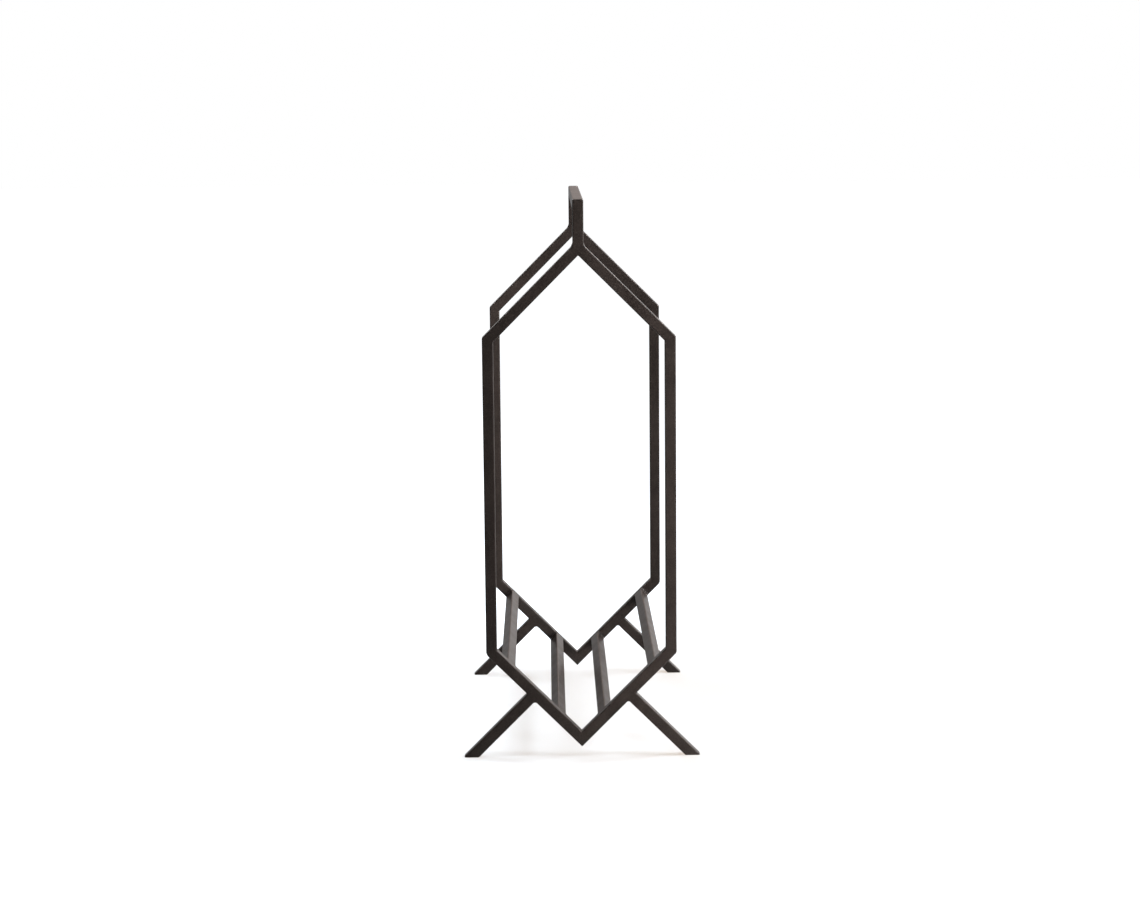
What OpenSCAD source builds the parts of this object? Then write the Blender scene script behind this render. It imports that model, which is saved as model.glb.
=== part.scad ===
// Record storage stand: two hexagonal end frames of square steel bar on splayed
// legs, joined by four rails under the sleeves and one carrying grip on top.
// Millimetres. X is the width, Y the depth (front is -Y), Z is up.
// The origin is on the floor, in the middle of the four feet.

/* [Bar stock] */
// Side of the square bar
bar = 10; // [8:0.5:12]
// Radius along the bar's long edges
edge_r = 1; // [0.4:0.1:2]

/* [End frames] */
// Width of an end frame, outside to outside
frame_w = 174; // [150:1:220]
// Height of a straight side between its outer corners
side_h = 290; // [220:1:360]
// Height of the lower apex above the floor
apex_h = 9; // [4:1:40]
// Overall depth, front face to back face
depth = 340; // [180:5:460]
// Radius ground on the two lower outer corners of a frame
lower_corner_r = 6; // [1:0.5:10]
// Radius ground on the two upper outer corners of a frame
upper_corner_r = 2.5; // [1:0.5:10]

/* [Legs] */
// Distance along the lower bar from the outer apex to the leg's middle
leg_root = 65.5; // [40:0.5:90]

/* [Handle] */
// Height of the grip's top above the upper apex
handle_h = 36; // [28:1:80]
// Radius ground on the grip's two top corners
grip_corner_r = 1.5; // [0.5:0.5:6]

/* [Record rails] */
// Clear distance along the lower bar from the inner apex to the lower rail
rail_apex_gap = 20; // [10:1:30]
// Clear distance along the lower bar from the upper rail to the inner corner
rail_corner_gap = 14; // [8:1:24]

/* [Welds] */
// Leg length of the fillet welds
weld = 2.2; // [1:0.1:3]
// How far a weld's face is hollowed, as a share of its thickness
weld_hollow = 0.12; // [0.05:0.01:0.25]

/* [Hidden] */
$fn = 48;

paint = [0.15, 0.145, 0.14];
weld_paint = [0.19, 0.185, 0.18];

slope = 45;                                // a square sleeve rests in the V on its corner
half_turn = slope / 2;                     // mitre where a side meets a sloping bar
half_w = frame_w / 2;
mid = bar / 2;
reach = 4 * bar;                           // size of a cutting block

lower_corner_z = apex_h + half_w * tan(slope);
upper_corner_z = lower_corner_z + side_h;
upper_apex_z = upper_corner_z + half_w * tan(slope);
top_z = upper_apex_z + handle_h;

// Corners of the bars' middle lines, as [x, z] on the right half of a frame
lower_apex_mid = [0, apex_h + mid / cos(slope)];
lower_corner_mid = [half_w - mid, lower_corner_z + mid * tan(half_turn)];
upper_corner_mid = [half_w - mid, upper_corner_z - mid * tan(half_turn)];
upper_apex_mid = [0, upper_apex_z - mid / cos(slope)];

// Distances along the lower bar's outer face, measured from the outer apex
inner_apex_s = bar * tan(slope);
inner_corner_s = half_w / cos(slope) - bar * tan(half_turn);
lower_rail_s = inner_apex_s + rail_apex_gap + mid;
upper_rail_s = inner_corner_s - rail_corner_gap - mid;
rail_length = depth - 2 * bar;
flat = bar - 2 * edge_r;                   // flat width of a face between its edges
leg_length = (apex_h + leg_root * sin(slope)) / sin(slope);

// ---- Bar stock ----

module bar_section() {
    square([bar, flat], center = true);
    square([flat, bar], center = true);
    for (x = [-1, 1], y = [-1, 1])
        translate([x * flat / 2, y * flat / 2]) circle(edge_r);
}

// A bar up the Z axis, with each end cut by a plane through the end of its
// middle line, tilted about Y
module cut_bar(length, tilt_start, tilt_end) {
    difference() {
        translate([0, 0, -bar]) linear_extrude(length + 2 * bar) bar_section();
        rotate([0, tilt_start, 0]) translate([-reach / 2, -reach / 2, -reach]) cube(reach);
        translate([0, 0, length]) rotate([0, tilt_end, 0])
            translate([-reach / 2, -reach / 2, 0]) cube(reach);
    }
}

// A bar in the plane of a frame from point p to point q, each [x, z]
module frame_bar(p, q, tilt_p, tilt_q) {
    run = q - p;
    translate([p[0], 0, p[1]])
        rotate([0, 90 - atan2(run[1], run[0]), 0])
            cut_bar(norm(run), tilt_p, tilt_q);
}

// What grinding takes off a convex corner that turns by an angle: the corner is
// on the Y axis and its bisector points along +Z
module corner_grind(radius, turn) {
    tangent = radius * tan(turn / 2);
    x = tangent * cos(turn / 2);
    z = -tangent * sin(turn / 2);
    rotate([90, 0, 0]) linear_extrude(2 * bar, center = true) difference() {
        polygon([[-x, z], [x, z], [x, bar], [-x, bar]]);
        translate([0, -radius / cos(turn / 2)]) circle(radius);
    }
}

// ---- Pieces of one end frame, in the plane Y = 0 and on the right-hand side ----

module lower_corner_grind() {
    translate([half_w, 0, lower_corner_z]) rotate([0, 90 + half_turn, 0])
        corner_grind(lower_corner_r, slope);
}

module upper_corner_grind() {
    translate([half_w, 0, upper_corner_z]) rotate([0, 90 - half_turn, 0])
        corner_grind(upper_corner_r, slope);
}

module lower_bar() {
    color(paint) difference() {
        frame_bar(lower_apex_mid, lower_corner_mid, slope, -half_turn);
        lower_corner_grind();
    }
}

module side_bar() {
    color(paint) difference() {
        frame_bar(lower_corner_mid, upper_corner_mid, half_turn, -half_turn);
        lower_corner_grind();
        upper_corner_grind();
    }
}

module upper_bar() {
    color(paint) difference() {
        frame_bar(upper_corner_mid, upper_apex_mid, half_turn, -slope);
        upper_corner_grind();
    }
}

// Local X runs up along the lower bar's outer face and local Z into the bar
module on_lower_bar(s) {
    translate([s * cos(slope), 0, apex_h + s * sin(slope)])
        rotate([0, -slope, 0]) children();
}

// Butts square on the lower bar's outer face and is cut flat on the floor
module leg() {
    color(paint) difference() {
        on_lower_bar(leg_root) rotate([0, 180, 0])
            linear_extrude(leg_length + bar) bar_section();
        translate([0, -reach / 2, -reach]) cube([2 * leg_length + reach, reach, reach]);
    }
}

// Stands astride the upper apex and is mitred to the grip
module post() {
    color(paint) difference() {
        translate([0, 0, upper_apex_z - bar])
            linear_extrude(handle_h + bar) bar_section();
        translate([0, -reach / 2, upper_apex_z]) rotate([0, slope, 0])
            translate([0, 0, -reach]) cube(reach);
        translate([0, -mid, top_z]) rotate([-slope, 0, 0])
            translate([-reach / 2, -reach / 2, 0]) cube(reach);
        grip_corner_grind();
    }
}

module grip_corner_grind() {
    translate([0, -mid, top_z]) rotate([slope, 0, 0]) rotate([0, 0, 90])
        corner_grind(grip_corner_r, 2 * slope);
}

// ---- Pieces between the frames ----

module grip() {
    color(paint) difference() {
        translate([0, depth / 2, top_z - mid]) rotate([90, 0, 0])
            linear_extrude(depth) bar_section();
        for (side = [0, 1]) mirror([0, side, 0]) {
            translate([0, -depth / 2, top_z]) rotate([-slope, 0, 0])
                translate([-reach / 2, -reach / 2, -reach]) cube(reach);
            translate([0, mid - depth / 2, 0]) grip_corner_grind();
        }
    }
}

// Lies square to the lower bars, flush with their inner faces
module rail(s) {
    color(paint)
        on_lower_bar(s) translate([0, -rail_length / 2, mid]) rotate([-90, 0, 0])
            linear_extrude(rail_length) bar_section();
}

// ---- Welds ----

// A fillet in the corner between a face along +X and one turned from it by the
// opening angle about Y towards +Z; it runs along Y
module fillet(opening, length) {
    chord_half = weld * sin(opening / 2);
    thickness = weld * cos(opening / 2);
    sag = thickness * weld_hollow;
    radius = (pow(chord_half, 2) + pow(sag, 2)) / (2 * sag);
    centre = thickness + radius - sag;
    past = 2 * weld;                       // the round cut alone ends the fillet
    rotate([90, 0, 0]) linear_extrude(length, center = true) difference() {
        polygon([[0, 0], [past, 0], [past * cos(opening), past * sin(opening)]]);
        rotate(opening / 2) translate([centre, 0]) circle(radius, $fn = 240);
    }
}

module leg_welds() {
    color(weld_paint) for (side = [0, 1]) mirror([side, 0, 0])
        on_lower_bar(leg_root) for (edge = [0, 1]) mirror([edge, 0, 0])
            translate([mid, 0, 0]) rotate([0, 90, 0]) fillet(90, flat);
}

module post_welds() {
    for (side = [0, 1]) mirror([side, 0, 0])
        translate([mid, 0, upper_apex_z - mid]) rotate([0, slope, 0])
            fillet(90 + slope, flat);
}

module grip_welds() {
    translate([0, mid, top_z - bar]) rotate([0, 0, 90]) rotate([0, 90, 0])
        fillet(90, flat);
}

module handle_welds() {
    color(weld_paint) {
        for (side = [0, 1]) mirror([0, side, 0]) translate([0, mid - depth / 2, 0]) {
            post_welds();
            grip_welds();
        }
    }
}

// The rails' ends on the back of the front frame
module rail_welds() {
    color(weld_paint) for (side = [0, 1], s = [lower_rail_s, upper_rail_s])
        mirror([side, 0, 0]) on_lower_bar(s) for (edge = [0, 1]) mirror([edge, 0, 0])
            translate([mid, bar - depth / 2, mid]) rotate([-90, 0, 0])
                fillet(90, flat);
}

// ---- Places ----

module front() {
    translate([0, mid - depth / 2, 0]) children();
}

module rear() {
    mirror([0, 1, 0]) front() children();
}

module left() {
    mirror([1, 0, 0]) children();
}

front() left() lower_bar();  // front_lower_left_bar
front() lower_bar();  // front_lower_right_bar
front() left() side_bar();  // front_left_side_bar
front() side_bar();  // front_right_side_bar
front() left() upper_bar();  // front_upper_left_bar
front() upper_bar();  // front_upper_right_bar
front() left() leg();  // front_left_leg
front() leg();  // front_right_leg
front() post();  // front_handle_post
rear() left() lower_bar();  // rear_lower_left_bar
rear() lower_bar();  // rear_lower_right_bar
rear() left() side_bar();  // rear_left_side_bar
rear() side_bar();  // rear_right_side_bar
rear() left() upper_bar();  // rear_upper_left_bar
rear() upper_bar();  // rear_upper_right_bar
rear() left() leg();  // rear_left_leg
rear() leg();  // rear_right_leg
rear() post();  // rear_handle_post
grip();  // handle_grip_bar
left() rail(lower_rail_s);  // left_lower_rail
left() rail(upper_rail_s);  // left_upper_rail
rail(lower_rail_s);  // right_lower_rail
rail(upper_rail_s);  // right_upper_rail
front() leg_welds();  // front_leg_welds
rear() leg_welds();  // rear_leg_welds
handle_welds();
rail_welds();  // front_rail_welds
mirror([0, 1, 0]) rail_welds();  // rear_rail_welds
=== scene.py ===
import bpy
import math
import numpy as np
from mathutils import Matrix, Vector


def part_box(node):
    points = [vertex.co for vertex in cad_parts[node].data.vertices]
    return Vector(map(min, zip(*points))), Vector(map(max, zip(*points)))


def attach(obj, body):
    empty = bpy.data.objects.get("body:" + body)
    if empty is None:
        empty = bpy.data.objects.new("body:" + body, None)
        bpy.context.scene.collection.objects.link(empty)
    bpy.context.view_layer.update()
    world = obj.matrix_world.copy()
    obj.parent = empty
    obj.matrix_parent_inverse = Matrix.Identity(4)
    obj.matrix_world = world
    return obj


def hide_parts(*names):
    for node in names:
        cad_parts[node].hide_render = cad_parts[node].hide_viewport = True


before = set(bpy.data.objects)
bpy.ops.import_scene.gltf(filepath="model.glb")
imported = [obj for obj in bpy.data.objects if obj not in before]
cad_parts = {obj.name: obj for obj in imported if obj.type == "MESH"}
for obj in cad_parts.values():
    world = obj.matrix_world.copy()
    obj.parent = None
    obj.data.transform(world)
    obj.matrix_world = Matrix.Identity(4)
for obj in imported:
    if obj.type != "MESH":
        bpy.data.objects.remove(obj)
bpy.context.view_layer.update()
mm = 0.001


def lowOf(node):
    return np.array(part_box(node)[0]) / mm  # a solid's lowest corner, in mm


def highOf(node):
    return np.array(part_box(node)[1]) / mm  # and its highest


def vector(x, y, z):
    return np.array([x, y, z], float)  # a point or a way, as one array


def unit(v):
    return v / np.linalg.norm(v, axis=-1, keepdims=True)  # each one divided by its own length


# The stand's sizes are in mm and its angles in degrees. The camera, the floor and the lamps are in metres.
barStock = {
    "side": highOf("front_right_side_bar")[0] - lowOf("front_right_side_bar")[0],
    "edgeRadius": 1.3,  # along the four long edges
    "edgeSteps": 6,
    "flatParts": 4,  # even, so that a point lies in the middle of each flat
    "mitreSteps": 9,
    "rimSteps": 6,
}
endFrame = {
    "halfWidth": highOf("front_right_side_bar")[0],
    "middles": {  # of each frame's bars, along Y
        "front": lowOf("front_right_side_bar")[1] + barStock["side"] / 2,
        "rear": highOf("rear_right_side_bar")[1] - barStock["side"] / 2,
    },
    "lowerApex": lowOf("front_lower_right_bar")[2],
    "upperApex": highOf("front_upper_right_bar")[2],
    "apexTurn": 90,
    "cornerTurn": 45,
    "apexRadius": 0.5,  # left sharp by the grinder
    "innerRadius": 0.7,  # paint and weld gather in the inner corners
    "lowerCornerRadius": {"frontLeft": 8.0, "frontRight": 4.6, "rearLeft": 5.4, "rearRight": 6.6},
    "upperCornerRadius": {"frontLeft": 2.8, "frontRight": 2.2, "rearLeft": 2.4, "rearRight": 2.8},
}


# The bar's section is one flat and one quarter-round edge, turned by 90 degrees four times
# as complex numbers and walked anticlockwise from the middle of the +u face.
def barSection(stock):
    half, edge = stock["side"] / 2, stock["edgeRadius"]
    across = np.linspace(-1, 1, stock["flatParts"] + 1)[:-1]
    bend = np.linspace(0, np.pi / 2, stock["edgeSteps"] + 1)[:-1]
    flat = half + 1j * (half - edge) * across
    roundEdge = (half - edge) * (1 + 1j) + edge * np.exp(1j * bend)
    spot = np.concatenate([flat, roundEdge])
    facing = np.concatenate([np.ones(len(across)), np.exp(1j * bend)])
    quarter = np.exp(0.5j * np.pi * np.arange(4))[:, None]
    start = stock["flatParts"] // 2
    spot, facing = (np.roll((quarter * z).ravel(), -start) for z in (spot, facing))
    return {
        "u": spot.real, "v": spot.imag,
        "nu": facing.real, "nv": facing.imag,  # the normal there
        "half": half, "count": len(spot),
    }


# Half of a mitred corner. A line of the bar at u turns on an arc whose radius runs straight from
# the inner to the outer one, so at angle a it lies at t = (u - r) tan(b) + r sin(a), u - r + r cos(a),
# with b half the turn. Its normal leans by a, less what the change of radius takes off.
def mitreEnd(section, turn, innerRadius, outerRadius):
    half, b = section["half"], math.radians(turn / 2)
    u, v = section["u"], section["v"]
    growth = (outerRadius - innerRadius) / (2 * half)
    r = innerRadius + growth * (u + half)
    a = np.linspace(0, b, barStock["mitreSteps"])[:, None]
    spot = np.stack([(u - r) * math.tan(b) + r * np.sin(a), u - r + r * np.cos(a), v + 0 * a], -1)
    stretch = growth + (1 - growth) * (np.cos(a) + math.tan(b) * np.sin(a))
    lean = section["nu"] / stretch
    facing = unit(np.stack([lean * np.sin(a), lean * np.cos(a), section["nv"] + 0 * a], -1))
    return spot, facing


# A flat cut with a rolled rim. A ball of the rim's radius touches the side and the cut: its middle
# is the section drawn in by the radius, set on the cut plane drawn in by the radius, and the rim
# turns from the side's normal to the cut's along the great circle between them.
def cutEnd(section, facing, rim=0.0):
    side = np.stack([0 * section["u"], section["nu"], section["nv"]], -1)
    inner = np.stack([section["u"] - rim * section["nu"], section["v"] - rim * section["nv"]], -1)
    t = (-rim - inner @ facing[1:]) / facing[0]
    middle = np.stack([t, inner[:, 0], inner[:, 1]], -1)
    if rim == 0:
        return middle[None], side[None]
    angle = np.arccos(np.clip(side @ facing, -1, 1))[None, :, None]
    share = np.linspace(0, 1, barStock["rimSteps"])[:, None, None]
    turned = (np.sin((1 - share) * angle) * side + np.sin(share * angle) * facing) / np.sin(angle)
    return middle + rim * turned, turned


# A saddle cut that sits astride an apex: t grows with the distance from the middle, |v|.
def saddleEnd(section, overlap):
    spot = np.stack([np.abs(section["v"]) + overlap, section["u"], section["v"]], -1)
    side = np.stack([0 * section["u"], section["nu"], section["nv"]], -1)
    return spot[None], side[None]


# A cap is a row of strips that join the points on either side of a line through the section.
# The shift turns that line, in points, so that on a saddle it runs along the ridge.
def capFaces(count, shift, first, backwards):
    ring = first + (np.arange(count) + shift) % count
    half = count // 2
    i = np.arange(1, half - 1)
    quads = np.stack([ring[i], ring[i + 1], ring[count - i - 1], ring[count - i]], -1)
    tips = np.array([[ring[0], ring[1], ring[-1]], [ring[half - 1], ring[half], ring[half + 1]]])
    return [f[::-1] if backwards else f for f in quads.tolist() + tips.tolist()]


# A bar from one point to another: both ends' rings are placed along it and joined by quads.
def barPart(section, start, finish, outward, startEnd, finishEnd, startShift=0):
    along = unit(finish - start)
    sideways = np.cross(along, outward)
    backAxes, axes = np.stack([-along, outward, sideways]), np.stack([along, outward, sideways])
    spots = np.concatenate([start + startEnd[0][::-1] @ backAxes, finish + finishEnd[0] @ axes])
    facings = np.concatenate([startEnd[1][::-1] @ backAxes, finishEnd[1] @ axes])
    rings, count = spots.shape[:2]
    at = np.arange(rings * count).reshape(rings, count)
    near, far = at[:-1], at[1:]
    quads = np.stack([near, np.roll(near, -1, 1), np.roll(far, -1, 1), far], -1).reshape(-1, 4).tolist()
    caps = capFaces(count, startShift, 0, True) + capFaces(count, 0, (rings - 1) * count, False)
    return {"points": spots.reshape(-1, 3), "facings": facings.reshape(-1, 3), "smooth": quads, "flat": caps}


# Puts parts into one mesh. The smooth faces take the worked-out normals and the flat ones their own.
def putPiece(name, parts, coat, nodes):
    points = np.concatenate([p["points"] for p in parts]) * mm
    facings = np.concatenate([p["facings"] for p in parts])
    firsts = np.cumsum([0] + [len(p["points"]) for p in parts[:-1]])
    smooth = [[i + f for i in face] for p, f in zip(parts, firsts) for face in p["smooth"]]
    flat = [[i + f for i in face] for p, f in zip(parts, firsts) for face in p["flat"]]
    mesh = bpy.data.meshes.new(name)
    mesh.from_pydata(points.tolist(), [], smooth + flat)
    mesh.polygons.foreach_set("use_smooth", [True] * len(mesh.polygons))
    mesh.update()
    corner = np.zeros(len(mesh.loops), int)
    mesh.loops.foreach_get("vertex_index", corner)
    ownFacing = np.zeros(len(mesh.polygons) * 3)
    mesh.polygons.foreach_get("normal", ownFacing)
    sizes = np.array([len(f) for f in smooth + flat])
    isFlat = np.repeat(np.arange(len(sizes)) >= len(smooth), sizes)
    perCorner = np.where(isFlat[:, None], np.repeat(ownFacing.reshape(-1, 3), sizes, 0), facings[corner])
    mesh.normals_split_custom_set(perCorner.tolist())
    mesh.materials.append(coat)
    piece = bpy.data.objects.new(name, mesh)
    bpy.context.scene.collection.objects.link(piece)
    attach(piece, "root")
    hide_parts(*nodes)


# A shader node: what comes from another node is linked, and a plain value is set on the socket.
def addNode(tree, kind, sockets, **settings):
    made = tree.nodes.new("ShaderNode" + kind)
    for key, value in settings.items():
        setattr(made, key, value)
    for key, value in sockets.items():
        if isinstance(value, bpy.types.NodeSocket):
            tree.links.new(value, made.inputs[key])
        else:
            made.inputs[key].default_value = value
    return made


# Runs from the first to the second end of toRange as the source runs over fromRange.
def ramp(tree, source, fromRange, toRange, shape="LINEAR"):
    sockets = {"Value": source, "From Min": fromRange[0], "From Max": fromRange[1]}
    sockets |= {"To Min": toRange[0], "To Max": toRange[1]}
    return addNode(tree, "MapRange", sockets, interpolation_type=shape).outputs["Result"]


# The first colour less its share, plus the share of the second. They are the Mix node's sockets 6 and 7.
def blend(tree, share, first, second):
    first, second = ((*c, 1) if isinstance(c, tuple) else c for c in (first, second))
    return addNode(tree, "Mix", {"Factor": share, 6: first, 7: second}, data_type="RGBA").outputs[2]


# Finishes. The coat is a fine orange peel of two noises, mottled in tone and gloss.
coatFinish = {
    "deep": (0.0162, 0.0118, 0.0102),
    "light": (0.0245, 0.0182, 0.0159),
    "speck": (0.070, 0.057, 0.050),
    # Of each noise, toneRange is where the colour changes, and tone how much of the speck its crests take.
    "mottle": {"scale": 55.0, "detail": 5.0, "toneRange": (0.36, 0.64), "roughRange": (0.35, 0.65)},
    "peel": {"scale": 560.0, "detail": 2.0, "toneRange": (0.44, 0.64), "tone": 0.13},
    "grain": {"scale": 1300.0, "detail": 1.0, "toneRange": (0.52, 0.74), "tone": 0.75},
    "wave": {"scale": 420.0, "detail": 3.0},
    "roughness": (0.31, 0.37),
    "peelHeight": 0.000025,  # in metres
    "grainHeight": 0.5,  # of the peel's
    "waveHeight": 0.0,
    "gloss": 0.26,
}
weldFinish = {**coatFinish, "roughness": (0.34, 0.50), "waveHeight": 0.00012}


# The tone goes from deep to light with the mottle, then towards the speck on the crests of the peel
# and the grain. The bump is the peel's height plus a share of the grain's, with waves over it on welds.
def paintMaterial(name, look):
    material = bpy.data.materials.new(name)
    material.use_nodes = True
    tree = material.node_tree
    place = addNode(tree, "TexCoord", {}).outputs["Object"]

    def noise(kind):
        sockets = {"Vector": place, "Scale": look[kind]["scale"], "Detail": look[kind]["detail"]}
        return addNode(tree, "TexNoise", sockets).outputs["Fac"]

    mottle, peel, grain = noise("mottle"), noise("peel"), noise("grain")
    lightness = ramp(tree, mottle, look["mottle"]["toneRange"], (0, 1))
    tone = blend(tree, lightness, look["deep"], look["light"])
    for kind, height in (("peel", peel), ("grain", grain)):
        crests = ramp(tree, height, look[kind]["toneRange"], (0, look[kind]["tone"]))
        tone = blend(tree, crests, tone, look["speck"])
    addGrain = {0: grain, 1: look["grainHeight"], 2: peel}
    heights = addNode(tree, "Math", addGrain, operation="MULTIPLY_ADD").outputs[0]
    facing = addNode(tree, "Bump", {"Distance": look["peelHeight"], "Height": heights}).outputs["Normal"]
    if look["waveHeight"]:
        waves = {"Distance": look["waveHeight"], "Height": noise("wave"), "Normal": facing}
        facing = addNode(tree, "Bump", waves).outputs["Normal"]
    roughness = ramp(tree, mottle, look["mottle"]["roughRange"], look["roughness"])
    shader = tree.nodes["Principled BSDF"]
    shader.inputs["Specular IOR Level"].default_value = look["gloss"]
    tree.links.new(tone, shader.inputs["Base Color"])
    tree.links.new(roughness, shader.inputs["Roughness"])
    tree.links.new(facing, shader.inputs["Normal"])
    return material


powderCoat = paintMaterial("powderCoat", coatFinish)
paintedWeld = paintMaterial("paintedWeld", weldFinish)

section = barSection(barStock)
halfBar = barStock["side"] / 2
diagonal = math.sqrt(0.5)  # each way of a unit step at 45 degrees
print("stand: bar section of", section["count"], "points")


# An end frame's middle lines are a hexagon, the outer one drawn in by half a bar. Its six bars run
# from corner to corner and meet in mitres.
def makeEndFrame(end, middleY):
    w, b, inner = endFrame["halfWidth"], halfBar, endFrame["innerRadius"]
    drawnIn = b * math.tan(math.radians(endFrame["cornerTurn"] / 2))
    lowApex, topApex = endFrame["lowerApex"], endFrame["upperApex"]
    lowCorner, topCorner = lowApex + w, topApex - w
    apexEnd = mitreEnd(section, endFrame["apexTurn"], inner, endFrame["apexRadius"])
    for sign, hand in ((-1, "Left"), (1, "Right")):
        stops = [
            vector(0, middleY, lowApex + b / diagonal),
            vector(sign * (w - b), middleY, lowCorner + drawnIn),
            vector(sign * (w - b), middleY, topCorner - drawnIn),
            vector(0, middleY, topApex - b / diagonal),
        ]
        lowerEnd, upperEnd = (
            mitreEnd(section, endFrame["cornerTurn"], inner, endFrame[k][end + hand])
            for k in ("lowerCornerRadius", "upperCornerRadius")
        )
        outwards = [
            vector(sign * diagonal, 0, -diagonal),
            vector(sign, 0, 0),
            vector(sign * diagonal, 0, diagonal),
        ]
        ends = [(apexEnd, lowerEnd), (lowerEnd, upperEnd), (upperEnd, apexEnd)]
        names = [f"{end}Lower{hand}Bar", f"{end}{hand}SideBar", f"{end}Upper{hand}Bar"]
        side = hand.lower()
        solids = [f"{end}_lower_{side}_bar", f"{end}_{side}_side_bar", f"{end}_upper_{side}_bar"]
        for i, name in enumerate(names):
            part = barPart(section, stops[i], stops[i + 1], outwards[i], *ends[i])
            putPiece(name, [part], powderCoat, [solids[i]])


for end, middleY in endFrame["middles"].items():
    makeEndFrame(end, middleY)
print("stand: end frames done")

legs = {
    "footRim": 0.5,  # the cut foot's edges, broken with a file and rounded by the coat
    "sunk": barStock["edgeRadius"],  # into the lower bar's rounded edge, where the weld is ground flush
}
footMiddle = highOf("front_right_leg")[0] - halfBar / diagonal
legRoot = (footMiddle - endFrame["lowerApex"]) / 2  # where its middle line meets the lower bar, along X


# A leg runs out and down at 45 degrees, from a butt under the lower bar to a level cut on the floor.
def makeLeg(end, middleY, sign):
    along = vector(sign * diagonal, 0, -diagonal)
    root = vector(sign * legRoot, middleY, endFrame["lowerApex"] + legRoot)
    foot = vector(sign * footMiddle, middleY, 0)
    outward = vector(sign * diagonal, 0, diagonal)
    rootEnd = cutEnd(section, vector(1, 0, 0))
    footEnd = cutEnd(section, vector(diagonal, -diagonal, 0), legs["footRim"])
    hand = "Left" if sign < 0 else "Right"
    part = barPart(section, root - legs["sunk"] * along, foot, outward, rootEnd, footEnd)
    putPiece(f"{end}{hand}Leg", [part], powderCoat, [f"{end}_{hand.lower()}_leg"])


for end, middleY in endFrame["middles"].items():
    makeLeg(end, middleY, -1)
    makeLeg(end, middleY, 1)
print("stand: legs done")

handle = {
    "top": highOf("handle_grip_bar")[2],
    "cornerTurn": 90,
    "topCornerRadius": 1.5,
    "innerRadius": 0.8,
    "sunk": barStock["edgeRadius"] / diagonal,  # into the upper bars' rounded edges
}
gripMiddle = handle["top"] - halfBar
gripEnd = mitreEnd(section, handle["cornerTurn"], handle["innerRadius"], handle["topCornerRadius"])
saddle = saddleEnd(section, handle["sunk"])
for end, middleY in endFrame["middles"].items():
    foot, top = vector(0, middleY, endFrame["upperApex"]), vector(0, middleY, gripMiddle)
    outward = vector(0, math.copysign(1, middleY), 0)
    post = barPart(section, foot, top, outward, saddle, gripEnd, section["count"] // 4)
    putPiece(f"{end}HandlePost", [post], powderCoat, [f"{end}_handle_post"])
gripStops = [vector(0, middleY, gripMiddle) for middleY in endFrame["middles"].values()]
grip = barPart(section, *gripStops, vector(0, 0, 1), gripEnd, gripEnd)
putPiece("handleGripBar", [grip], powderCoat, ["handle_grip_bar"])
print("stand: handle done")

rails = {"sunk": barStock["edgeRadius"]}
railSpots = {}
butt = cutEnd(section, vector(1, 0, 0))
for node in ("left_lower_rail", "left_upper_rail", "right_lower_rail", "right_upper_rail"):
    low, high = lowOf(node), highOf(node)
    middle = (low + high) / 2
    railSpots[node] = middle
    sign = math.copysign(1, middle[0])
    reach = vector(0, (high[1] - low[1]) / 2 + rails["sunk"], 0)
    outward = vector(sign * diagonal, 0, -diagonal)
    part = barPart(section, middle - reach, middle + reach, outward, butt, butt)
    hand, level = node.split("_")[:2]
    putPiece(f"{hand}{level.title()}Rail", [part], powderCoat, [node])
print("stand: rails done")

weldBeads = {
    "reach": 2.2,  # how far a bead goes along each face
    "legReach": {"leftUnder": 2.1, "leftUpper": 1.0, "rightUnder": 1.5, "rightUpper": 1.0},
    "hollow": 0.22,  # of its thickness
    "ripplePitch": 1.1,
    "rippleHeight": 0.07,
    "rippleFade": 0.7,  # the power of 4q(1-q) that levels the ripples towards the toes
    "rippleWidth": 0.02,  # what a ripple adds to the reach, of it
    "crescent": 0.55,  # how far a ripple bows along the run, in pitches
    "wander": {"share": 0.25, "perMm": 0.9, "perSeed": 1.7},  # of the ripples' height, along the run
    "sway": {"share": 0.04, "perMm": 1.3},  # of the reach, along the run
    "seeds": {"leg": 1.3, "post": 2.1, "grip": 0.7},  # so that no two beads of a kind are alike
    "clearance": 0.03,  # the ground ends stay this far under the bars' faces
    "sink": 0.4,
    "acrossSteps": 13,
    "runSteps": 97,
}


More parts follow.
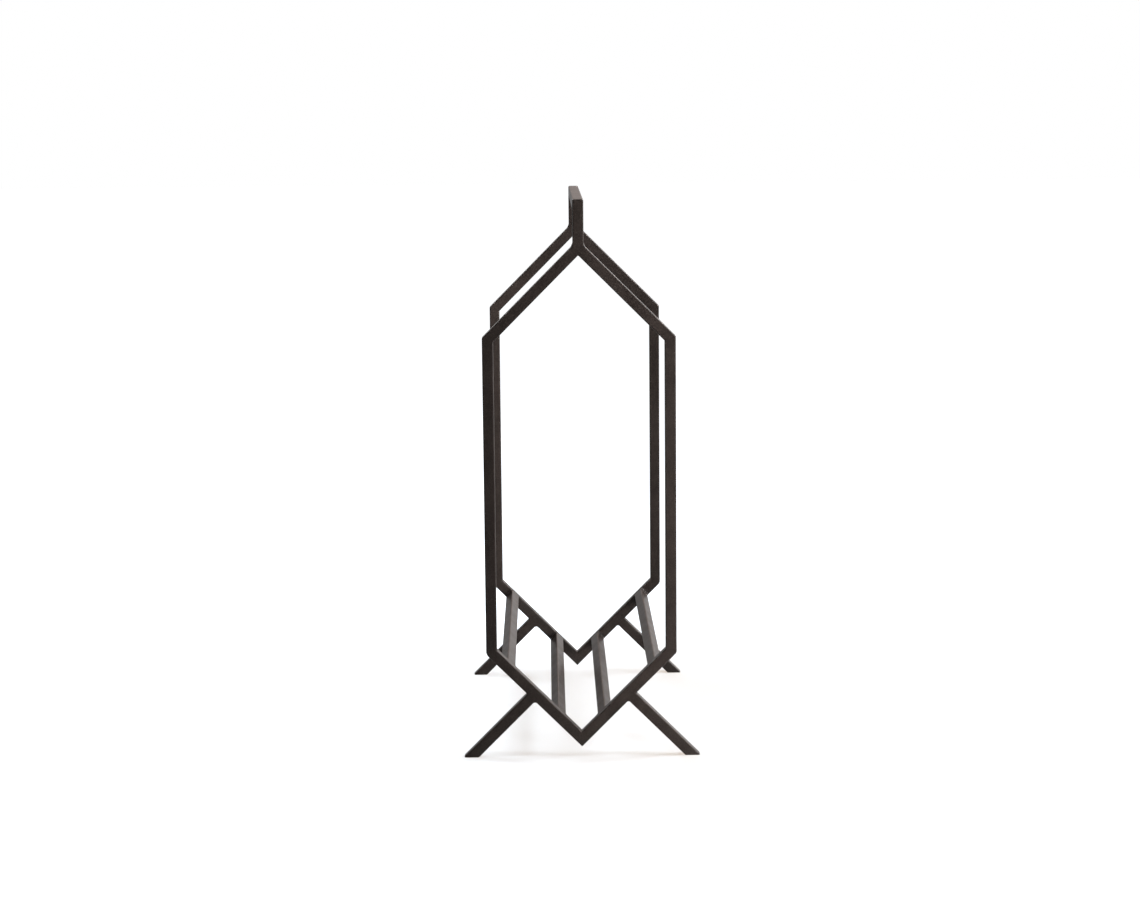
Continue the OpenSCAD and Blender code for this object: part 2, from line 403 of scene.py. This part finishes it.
# A bead between two faces, as long as a bar is wide. Across, it goes straight from toe to toe, less
# a hollow of 4q(1-q), and its ripples are a sine along the run whose phase bows with 4q(1-q). Near
# its ends it draws back into the corner as the bars' round edges do, by e - sqrt(e^2 - (e - d)^2)
# at d from the end.
def weldBead(corner, firstWay, secondWay, run, seed, size=weldBeads["reach"]):
    look, e, length = weldBeads, barStock["edgeRadius"], barStock["side"]
    wander, sway = look["wander"], look["sway"]
    opening = firstWay @ secondWay
    firstFacing = unit(secondWay - opening * firstWay)
    secondFacing = unit(firstWay - opening * secondWay)
    back = -(firstFacing + secondFacing) / (1 + firstFacing @ secondFacing)
    thickness = size * math.sqrt((1 + opening) / 2)
    halfRun = length / 2 - look["clearance"]
    q = np.linspace(0, 1, look["acrossSteps"])[None, :]
    s = np.linspace(-halfRun, halfRun, look["runSteps"])[:, None]
    bow = 4 * q * (1 - q)
    phase = 2 * np.pi * (s / look["ripplePitch"] + look["crescent"] * bow) + seed
    unevenness = 1 + wander["share"] * np.sin(s * wander["perMm"] + seed * wander["perSeed"])
    ripple = look["rippleHeight"] * unevenness * np.sin(phase) * bow ** look["rippleFade"]
    lift = ripple - look["hollow"] * thickness * bow
    swaying = sway["share"] * np.sin(s * sway["perMm"] + seed)
    reach = size * (1 + swaying + look["rippleWidth"] * np.sin(phase))
    toeToToe = (1 - q)[..., None] * firstWay + q[..., None] * secondWay
    face = reach[..., None] * toeToToe + lift[..., None] * unit(firstWay + secondWay)
    hidden = np.stack([
        size * secondWay - look["sink"] * secondFacing,
        look["sink"] * back,
        size * firstWay - look["sink"] * firstFacing,
    ])
    ring = np.concatenate([face, np.broadcast_to(hidden, (len(s), *hidden.shape))], 1)
    depth = np.clip(length / 2 - np.abs(s[:, 0]), 0, e)
    recess = e - np.sqrt(e ** 2 - (e - depth) ** 2)
    ring = corner + ring + s[..., None] * run + recess[:, None, None] * back
    rows, count = ring.shape[:2]
    at = np.arange(rows * count).reshape(rows, count)
    near, far = at[:-1], at[1:]
    skin = np.stack([near, np.roll(near, -1, 1), np.roll(far, -1, 1), far], -1)
    pivot = count - 2  # the sunk corner sees the whole end
    k = np.arange(1, count - 1)
    hub, spokes = np.full(len(k), pivot), np.column_stack([pivot + k, pivot + k + 1]) % count
    firstCap = np.column_stack([hub, spokes[:, ::-1]])
    lastCap = (rows - 1) * count + np.column_stack([hub, spokes])
    # Normals of the skin from the cross product of its two ways, made to point out of the corner.
    alongRun, acrossRing = np.gradient(ring, axis=0), np.roll(ring, -1, 1) - np.roll(ring, 1, 1)
    facing = unit(np.cross(acrossRing, alongRun) + 1e-12)  # which is never quite nothing
    flip = np.sum(facing[rows // 2, look["acrossSteps"] // 2] * back) > 0
    shown = look["acrossSteps"] - 1
    smooth, flat = skin[:, :shown].reshape(-1, 4), skin[:, shown:].reshape(-1, 4)
    flatFaces = flat.tolist() + firstCap.tolist() + lastCap.tolist()
    if flip:
        smooth, flatFaces, facing = smooth[:, ::-1], [f[::-1] for f in flatFaces], -facing
    points, facings = ring.reshape(-1, 3), facing.reshape(-1, 3)
    return {"points": points, "facings": facings, "smooth": smooth.tolist(), "flat": flatFaces}


xRun, yRun = vector(1, 0, 0), vector(0, 1, 0)
seeds = weldBeads["seeds"]
for end, middleY in endFrame["middles"].items():
    beads = []
    for sign, hand in ((-1, "left"), (1, "right")):
        root = vector(sign * legRoot, middleY, endFrame["lowerApex"] + legRoot)
        down, up = vector(sign * diagonal, 0, -diagonal), vector(sign * diagonal, 0, diagonal)
        for k, place in ((-1, "Under"), (1, "Upper")):
            size = weldBeads["legReach"][hand + place]
            corner = root + k * halfBar * up
            beads.append(weldBead(corner, k * up, down, yRun, seeds["leg"] * k + sign, size))
    putPiece(f"{end}LegWelds", beads, paintedWeld, [f"{end}_leg_welds"])

beads = []
for middleY in endFrame["middles"].values():
    inwardY = -math.copysign(1, middleY)
    for sign in (-1, 1):
        corner = vector(sign * halfBar, middleY, endFrame["upperApex"] - halfBar)
        down = vector(sign * diagonal, 0, -diagonal)
        beads.append(weldBead(corner, vector(0, 0, 1), down, yRun, sign * seeds["post"]))
    corner = vector(0, middleY + inwardY * halfBar, handle["top"] - barStock["side"])
    beads.append(weldBead(corner, inwardY * yRun, vector(0, 0, -1), xRun, inwardY * seeds["grip"]))
putPiece("handleWelds", beads, paintedWeld, ["handle_welds"])

for end, middleY in endFrame["middles"].items():
    inwardY = -math.copysign(1, middleY)
    beads = []
    for middle in railSpots.values():
        sign = math.copysign(1, middle[0])
        up, inward = vector(sign * diagonal, 0, diagonal), vector(-sign * diagonal, 0, diagonal)
        spot = vector(middle[0], middleY + inwardY * halfBar, middle[2])
        for k in (-1, 1):
            corner = spot + k * halfBar * up
            beads.append(weldBead(corner, k * up, inwardY * yRun, inward, k + middle[0]))
    putPiece(f"{end}RailWelds", beads, paintedWeld, [f"{end}_rail_welds"])
print("stand: welds done")

# The camera stands a little left of the stand's middle and just above its handle.
cameraView = {
    "place": (-0.0294, -2.3843, 0.5982),
    "turnRight": 0.532,
    "tiltDown": 8.215,
    "roll": -0.52,
    "lens": 78.38,
    "sensorWidth": 36,
    "clip": (0.05, 60),
}
camera = bpy.data.objects.new("camera", bpy.data.cameras.new("camera"))
camera.data.lens, camera.data.sensor_width = cameraView["lens"], cameraView["sensorWidth"]
camera.data.clip_start, camera.data.clip_end = cameraView["clip"]
turn = (
    Matrix.Rotation(math.radians(-cameraView["turnRight"]), 4, "Z")
    @ Matrix.Rotation(math.radians(90 - cameraView["tiltDown"]), 4, "X")
    @ Matrix.Rotation(math.radians(cameraView["roll"]), 4, "Z")
)
camera.matrix_world = Matrix.Translation(cameraView["place"]) @ turn
bpy.context.scene.collection.objects.link(camera)
bpy.context.scene.camera = camera


# Two masks: 1 where the camera looks straight or through glass, and 1 on a mirrored ray.
def rayKinds(tree):
    path = addNode(tree, "LightPath", {}).outputs
    straightOrThrough = {0: path["Is Camera Ray"], 1: path["Is Transmission Ray"]}
    return addNode(tree, "Math", straightOrThrough, operation="MAXIMUM").outputs[0], path["Is Glossy Ray"]


# One number where the mask is 0 and another where it is 1. They are the Mix node's sockets 2 and 3.
def pick(tree, mask, otherwise, chosen):
    return addNode(tree, "Mix", {"Factor": mask, 2: otherwise, 3: chosen}, data_type="FLOAT").outputs[0]


# One number multiplied by the other.
def times(tree, first, second):
    return addNode(tree, "Math", {0: first, 1: second}, operation="MULTIPLY").outputs[0]


# The place on a surface, or the direction of a ray in the world, whole and by its axes.
def placeAxes(tree):
    place = addNode(tree, "TexCoord", {}).outputs["Object"]
    axes = addNode(tree, "SeparateXYZ", {"Vector": place}).outputs
    return place, axes["X"], axes["Y"], axes["Z"]


studio = {
    "background": 1.0,  # white, for the camera
    "mirrored": (0.90, 0.21),  # what gloss sees behind the stand, and on the dim side before it
    "dimming": (0.35, -0.35),  # of a ray's run along Y, from the bright side to the dim one
    "leftToRight": {"run": (-0.30, 0.10), "share": (0.30, 0.79)},  # of "mirrored", by a ray's run along X
    "rise": (0.02, 0.22),  # of a ray's run along Z, from no tint to all of it
    "riseTint": (1, 0.83, 0.76),  # gloss sees a slightly warm light high up
    "fill": 0.25,  # the share of "mirrored" that falls on things as plain light
}
world = bpy.data.worlds.new("studio")
world.use_nodes = True
bpy.context.scene.world = world
tree = world.node_tree
seen, mirrored = rayKinds(tree)
_, x, y, z = placeAxes(tree)
level = ramp(tree, y, studio["dimming"], studio["mirrored"], "SMOOTHSTEP")
sideways = ramp(tree, x, studio["leftToRight"]["run"], studio["leftToRight"]["share"], "SMOOTHSTEP")
gloss, fill = times(tree, level, sideways), times(tree, level, studio["fill"])
strength = pick(tree, seen, pick(tree, mirrored, fill, gloss), studio["background"])
tree.links.new(strength, tree.nodes["Background"].inputs["Strength"])
warmth = times(tree, mirrored, ramp(tree, z, studio["rise"], (0, 1)))
tint = blend(tree, warmth, (1, 1, 1), studio["riseTint"])
tree.links.new(tint, tree.nodes["Background"].inputs["Color"])

studioFloor = {
    "halfSide": 15,
    "mirrored": (0.50, 0.21),  # what gloss sees of it behind the stand and before it
    "dimming": (0.1, -0.6),  # along Y, from the bright floor to the dim one
    "white": 0.24,  # as all other rays see it
    "across": (-0.10, 0.10),  # along X, from the stand's left to its right, for the next two
    "glow": (0.40, 0.51),  # for the camera, before the lamps add to it
    "shade": (0.54, 0.29),  # how much of the lamps' light it adds, with their shadows in it
    "glowTint": (1.18, 1, 0.84),  # shadows are a little warm, and the two tints even out to white
    "shadeTint": (0.86, 1, 1.14),
    "farGlow": 1.0,
    "glowReach": (0.21, 0.36),  # from the middle: where the near glow ends, and where the far one begins
}
h = studioFloor["halfSide"]
floorMesh = bpy.data.meshes.new("floor")
floorMesh.from_pydata([(-h, -h, 0), (h, -h, 0), (h, h, 0), (-h, h, 0)], [], [(0, 1, 2, 3)])
floor = bpy.data.objects.new("floor", floorMesh)
bpy.context.scene.collection.objects.link(floor)
floorPaint = bpy.data.materials.new("floorPaint")
floorPaint.use_nodes = True
tree = floorPaint.node_tree
tree.nodes.remove(tree.nodes["Principled BSDF"])
seen, mirrored = rayKinds(tree)
place, x, y, _ = placeAxes(tree)
distance = addNode(tree, "VectorMath", {0: place}, operation="LENGTH").outputs["Value"]
nearGlow, nearShade = (ramp(tree, x, studioFloor["across"], studioFloor[k]) for k in ("glow", "shade"))
farShare = ramp(tree, distance, studioFloor["glowReach"], (0, 1), "SMOOTHSTEP")
pool = pick(tree, farShare, nearGlow, studioFloor["farGlow"])
poolTone = blend(tree, farShare, studioFloor["glowTint"], (1, 1, 1))
dimmed = ramp(tree, y, studioFloor["dimming"], studioFloor["mirrored"], "SMOOTHSTEP")
glow = addNode(tree, "Emission", {"Color": poolTone, "Strength": pool}).outputs[0]
mirrorGlow = addNode(tree, "Emission", {"Strength": dimmed}).outputs[0]
shadeTone = blend(tree, nearShade, (0, 0, 0), studioFloor["shadeTint"])
whiteTone = (*[studioFloor["white"]] * 3, 1)
shade, white = (addNode(tree, "BsdfDiffuse", {"Color": c}).outputs[0] for c in (shadeTone, whiteTone))
lit = addNode(tree, "AddShader", {0: glow, 1: shade}).outputs[0]
unseen = addNode(tree, "MixShader", {0: mirrored, 1: white, 2: mirrorGlow}).outputs[0]
surface = addNode(tree, "MixShader", {0: seen, 1: unseen, 2: lit}).outputs[0]
tree.links.new(surface, tree.nodes["Material Output"].inputs["Surface"])
floorMesh.materials.append(floorPaint)

lamps = {
    "overheadStrip": {
        "place": (0, -0.41, 1.9), "aim": (0, -0.17, 0),
        "size": (1.7, 0.06), "power": 10, "spread": 180, "mirrored": True,
    },
    "rightSide": {
        "place": (1.45, 0.05, 1.25), "aim": (0, -0.05, 0.25),
        "size": (1.2, 1.2), "power": 62, "spread": 180, "mirrored": True,
    },
    "rightFront": {  # its mirror image would burn out the rails, seen from behind
        "place": (0.75, -1.15, 0.36), "aim": (0.11, -0.17, 0.24),
        "size": (0.16, 0.9), "power": 1.28, "spread": 22, "mirrored": False,
    },
    "rightRim": {
        "place": (0.85, 1.9, 0.75), "aim": (0, 0, 0.25),
        "size": (1.6, 1.6), "power": 1.6, "spread": 180, "mirrored": True,
    },
    "leftRear": {
        "place": (-1.5, 1.5, 1.9), "aim": (0, 0, 0.25),
        "size": (1.0, 1.0), "power": 34, "spread": 180, "mirrored": True,
    },
}
for name, lamp in lamps.items():
    data = bpy.data.lights.new(name, "AREA")
    data.shape, data.size, data.size_y = "RECTANGLE", *lamp["size"]
    data.energy, data.spread = lamp["power"], math.radians(lamp["spread"])
    light = bpy.data.objects.new(name, data)
    light.location = lamp["place"]
    light.rotation_euler = (Vector(lamp["aim"]) - light.location).to_track_quat("-Z", "Y").to_euler()
    light.visible_camera = False
    light.visible_glossy = lamp["mirrored"]
    bpy.context.scene.collection.objects.link(light)

bpy.context.scene.view_settings.view_transform = "Standard"
print("stand: camera, floor and lamps done")
